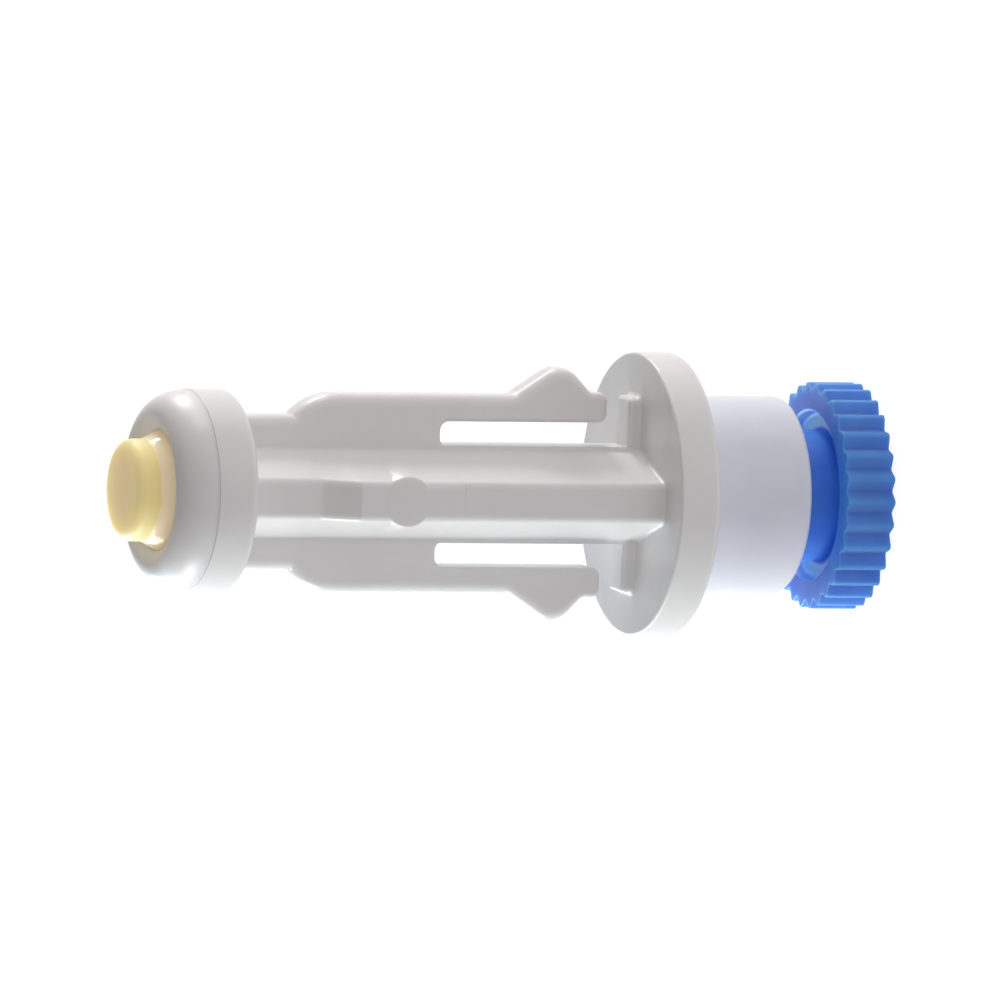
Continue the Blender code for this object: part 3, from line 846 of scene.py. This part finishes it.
def collar():
    """The lock collar: a smooth sleeve with a web and the two-start thread inside."""
    made = turned(
        "collar_moulding",
        [
            (WEB_BORE, COLLAR_BACK, 0),
            (COLLAR_RADIUS, COLLAR_BACK, 0.25),
            (COLLAR_RADIUS, COLLAR_MOUTH, 0.45),
            (THREAD_RADIUS + 0.25, COLLAR_MOUTH, 0.08),
            (THREAD_RADIUS, COLLAR_MOUTH + 0.25, 0.08),
            (THREAD_RADIUS, WEB, 0.1),
            (WEB_BORE, WEB, 0),
        ],
        closed=True,
    )
    section = [
        (4.12, -THREAD_FOOT_HALF),
        (4.12, THREAD_FOOT_HALF),
        (3.54, 0.24),
        (3.5, 0.16),
        (3.5, -0.16),
        (3.54, -0.24),
    ]
    lowest = CAP_NECK_TOP + 0.3 + THREAD_ROOM + THREAD_FOOT_HALF
    highest = WEB - THREAD_ROOM - THREAD_FOOT_HALF
    middle = LUG - THREAD_LEAD / 4
    ridges = [
        helical_rib(
            f"thread_{start + 1}",
            section,
            middle - THREAD_LEAD * start / 2,
            (lowest - middle) * math.tau / THREAD_LEAD + start * math.pi,
            (highest - middle) * math.tau / THREAD_LEAD + start * math.pi,
        )
        for start in range(2)
    ]
    made = combined(made, added=ridges)
    return finished(made, natural_polypropylene(), "collar", "luer_lock_collar")


def knurled_disc():
    """The cap's disc, with straight V teeth whose crests and roots are softened."""
    pitch = math.tau / CAP_TEETH
    land = pitch * TOOTH_LAND_SHARE / 2
    root = CAP_RADIUS - CAP_TOOTH_DEPTH
    corners = []
    for tooth in range(CAP_TEETH):
        middle = TOOTH_TURN - math.pi / 2 - tooth * pitch
        for radius, angle in (
            (CAP_RADIUS, middle + land),
            (CAP_RADIUS, middle - land),
            (root, middle - pitch / 2),
        ):
            corners.append(Vector((radius * math.cos(angle), radius * math.sin(angle))))
    rim = []
    for angle in quarter_turn(4):
        sharp = offset(corners, DISC_EDGE * (1 - math.sin(angle)))
        softened = rounded([(p.x, p.y, TOOTH_SOFTNESS) for p in sharp], arc_steps=3)
        rim.append((softened, DISC_EDGE * (1 - math.cos(angle))))
    below = [level(points, rise) for points, rise in rim]
    above = [level(points, CAP_HEIGHT - rise) for points, rise in reversed(rim)]
    return lofted("cap_moulding", below + above)


def rim_arc(radius, height, softness, down):
    """A cutter's flare that leaves a soft rim round a recess, as plain profile corners."""
    points = []
    for angle in quarter_turn(5):
        rise = softness * (1 - math.cos(angle))
        points.append((radius + softness * (1 - math.sin(angle)), height - down * rise, 0))
    return points


def cap():
    """The knurled cap: tray, neck, hub with its lugs, and the tapered luer socket."""
    disc = knurled_disc()
    tray_edge = 0.2
    foot_edge = 0.15
    tray = turned(
        "tray",
        [
            (0, CAP_HEIGHT + OVERSHOOT, 0),
            (TRAY_RADIUS + tray_edge, CAP_HEIGHT + OVERSHOOT, 0),
            *rim_arc(TRAY_RADIUS, CAP_HEIGHT, tray_edge, 1),
            (TRAY_RADIUS, TRAY_FLOOR, 0.30),
            (0, TRAY_FLOOR, 0),
        ],
    )
    foot = turned(
        "foot_recess",
        [
            (0, FOOT_DEPTH, 0),
            (FOOT_RADIUS, FOOT_DEPTH, 0.15),
            *reversed(rim_arc(FOOT_RADIUS, 0, foot_edge, -1)),
            (FOOT_RADIUS + foot_edge, -OVERSHOOT, 0),
            (0, -OVERSHOOT, 0),
        ],
    )
    hub = turned(
        "hub",
        [
            (0, HUB_TOP, 0),
            (HUB_RADIUS, HUB_TOP, 0.15),
            (HUB_RADIUS, CAP_NECK_TOP, 0.1),
            (CAP_NECK_RADIUS, CAP_NECK_TOP - 0.3, 0.1),
            (CAP_NECK_RADIUS, TRAY_FLOOR, 0.3),
            (CAP_NECK_RADIUS + 0.5, TRAY_FLOOR, 0),
            (CAP_NECK_RADIUS + 0.5, HUB_FOOT, 0),
            (0, HUB_FOOT, 0),
        ],
    )
    section = [(3.18, -0.45), (3.18, 0.45), (3.86, 0.23), (3.9, 0.16), (3.9, -0.16), (3.86, -0.23)]
    lug_half = math.radians(25)
    lugs = [
        helical_rib(
            f"lug_{start + 1}",
            section,
            LUG - THREAD_LEAD * start / 2,
            start * math.pi - lug_half,
            start * math.pi + lug_half,
        )
        for start in range(2)
    ]
    socket = turned(
        "luer_socket",
        [
            (0, HUB_TOP + OVERSHOOT, 0),
            (luer_radius(HUB_TOP + OVERSHOOT) + SOCKET_ROOM, HUB_TOP + OVERSHOOT, 0),
            (luer_radius(SOCKET_FLOOR) + SOCKET_ROOM, SOCKET_FLOOR, 0.1),
            (0, SOCKET_FLOOR, 0),
        ],
    )
    disc = combined(disc, cut=[tray, foot])
    disc = combined(disc, added=[hub, *lugs])
    disc = combined(disc, cut=[socket])
    return finished(disc, blue_polyethylene(), "cap", "protective_cap")


def seen_directly(tree):
    """A factor that is one where the camera, a reflection or a clear body looks at the backdrop."""
    ray = add_node(tree, "ShaderNodeLightPath")
    camera_or_glossy = add_node(
        tree,
        "ShaderNodeMath",
        settings={"operation": "MAXIMUM"},
        links={0: (ray, "Is Camera Ray"), 1: (ray, "Is Glossy Ray")},
    )
    return add_node(
        tree,
        "ShaderNodeMath",
        settings={"operation": "MAXIMUM"},
        links={0: (camera_or_glossy, "Value"), 1: (ray, "Is Transmission Ray")},
    )


def floor():
    """A pale floor that shows white where it is looked at, and keeps a faint shadow."""
    work = bmesh.new()
    bmesh.ops.create_grid(work, x_segments=1, y_segments=1, size=FLOOR_REACH)
    plane = new_object("floor", work)
    plane.data.transform(Matrix.Scale(MM, 4))
    made = bpy.data.materials.new("pale_floor")
    made.use_nodes = True
    tree = made.node_tree
    tree.nodes.clear()
    looked_at = seen_directly(tree)
    variants = []
    for colour, strength in (("#e8e8e8", FLOOR_SHED), ("#a0a0a0", FLOOR_LOOKED_AT)):
        matt = add_node(tree, "ShaderNodeBsdfDiffuse", inputs={"Color": linear(colour)})
        glow = add_node(
            tree, "ShaderNodeEmission", inputs={"Color": (1, 1, 1, 1), "Strength": strength}
        )
        variants.append(
            add_node(tree, "ShaderNodeAddShader", links={0: (matt, "BSDF"), 1: (glow, "Emission")})
        )
    shedding, white = variants
    mix = add_node(
        tree,
        "ShaderNodeMixShader",
        links={0: (looked_at, "Value"), 1: (shedding, "Shader"), 2: (white, "Shader")},
    )
    add_node(tree, "ShaderNodeOutputMaterial", links={"Surface": (mix, "Shader")})
    plane.data.materials.append(made)


def world():
    """Soft light from all round, dimmer towards the nose, with a backdrop that shows white."""
    made = bpy.data.worlds.new("studio")
    bpy.context.scene.world = made
    made.use_nodes = True
    tree = made.node_tree
    tree.nodes.clear()
    looked_at = seen_directly(tree)
    direction = add_node(tree, "ShaderNodeTexCoord")
    split = add_node(tree, "ShaderNodeSeparateXYZ", links={"Vector": (direction, "Generated")})
    falling = add_node(
        tree,
        "ShaderNodeMapRange",
        inputs={"From Min": 0.0, "From Max": 1.0, "To Min": WORLD_SHED, "To Max": 0.0},
        links={"Value": (split, "Z")},
    )
    around = add_node(
        tree,
        "ShaderNodeBackground",
        inputs={"Color": linear("#fffbfd")},
        links={"Strength": (falling, "Result")},
    )
    white = add_node(tree, "ShaderNodeBackground", inputs={"Color": (1, 1, 1, 1), "Strength": 1.0})
    mix = add_node(
        tree,
        "ShaderNodeMixShader",
        links={0: (looked_at, "Value"), 1: (around, "Background"), 2: (white, "Background")},
    )
    add_node(tree, "ShaderNodeOutputWorld", links={"Surface": (mix, "Shader")})


def soft_box(name, direction, size, watts, colour):
    """A square lamp, in metres and watts, that shines at the middle of the connector."""
    lamp = bpy.data.lights.new(name, "AREA")
    lamp.size = size
    lamp.energy = watts
    lamp.color = linear(colour)[:3]
    obj = bpy.data.objects.new(name, lamp)
    away = Vector(direction).normalized()
    facing = (-away).to_track_quat("-Z", "Y").to_matrix().to_4x4()
    obj.matrix_world = Matrix.Translation(LAMP_TARGET + away * LAMP_DISTANCE) @ facing
    bpy.context.scene.collection.objects.link(obj)


def lights():
    """A bank of soft boxes past each wing's edge, turned a little behind the connector."""
    soft_box("high_side", (1.0, 0.02, 0.03), 0.08, 0.22, "#fffefb")
    soft_box("high_behind", (0.80, 0.60, 0.03), 0.10, 0.64, "#fffcf6")
    soft_box("low_side", (-1.0, 0.12, 0.05), 0.10, 0.66, "#eefdff")
    soft_box("low_behind", (-0.85, 0.50, 0.10), 0.13, 0.33, "#ffefdd")
    soft_box("low_back", (-0.60, 0.80, 0.10), 0.14, 0.72, "#b8dfff")


def camera():
    """A long lens at the photograph's angle, with the long axis across the frame."""
    elevation = math.radians(21.2)
    roll = math.radians(5.9)
    tilt = math.radians(0.45)
    lens_mm = 1500
    sensor_mm = 36
    frame_width = 0.0556
    middle = Vector((0, 0, 0.0212))
    lowered = 0.0004
    back = Vector(
        (
            math.sin(roll) * math.cos(elevation),
            -math.cos(roll) * math.cos(elevation),
            math.sin(elevation),
        )
    )
    up = Vector((math.cos(roll), math.sin(roll), 0))
    right = up.cross(back)
    right, up = (
        right * math.cos(tilt) + up * math.sin(tilt),
        up * math.cos(tilt) - right * math.sin(tilt),
    )
    target = middle - up * lowered
    made = bpy.data.cameras.new("camera")
    made.lens = lens_mm
    made.sensor_width = sensor_mm
    made.clip_start = 0.01
    obj = bpy.data.objects.new("camera", made)
    place = target + back * frame_width * lens_mm / sensor_mm
    obj.matrix_world = Matrix.Translation(place) @ Matrix((right, up, back)).transposed().to_4x4()
    bpy.context.scene.collection.objects.link(obj)
    bpy.context.scene.camera = obj


for build in (cap, collar, housing, retainer, membrane, floor, world, lights, camera):
    build()

bpy.context.scene.view_settings.view_transform = "Standard"
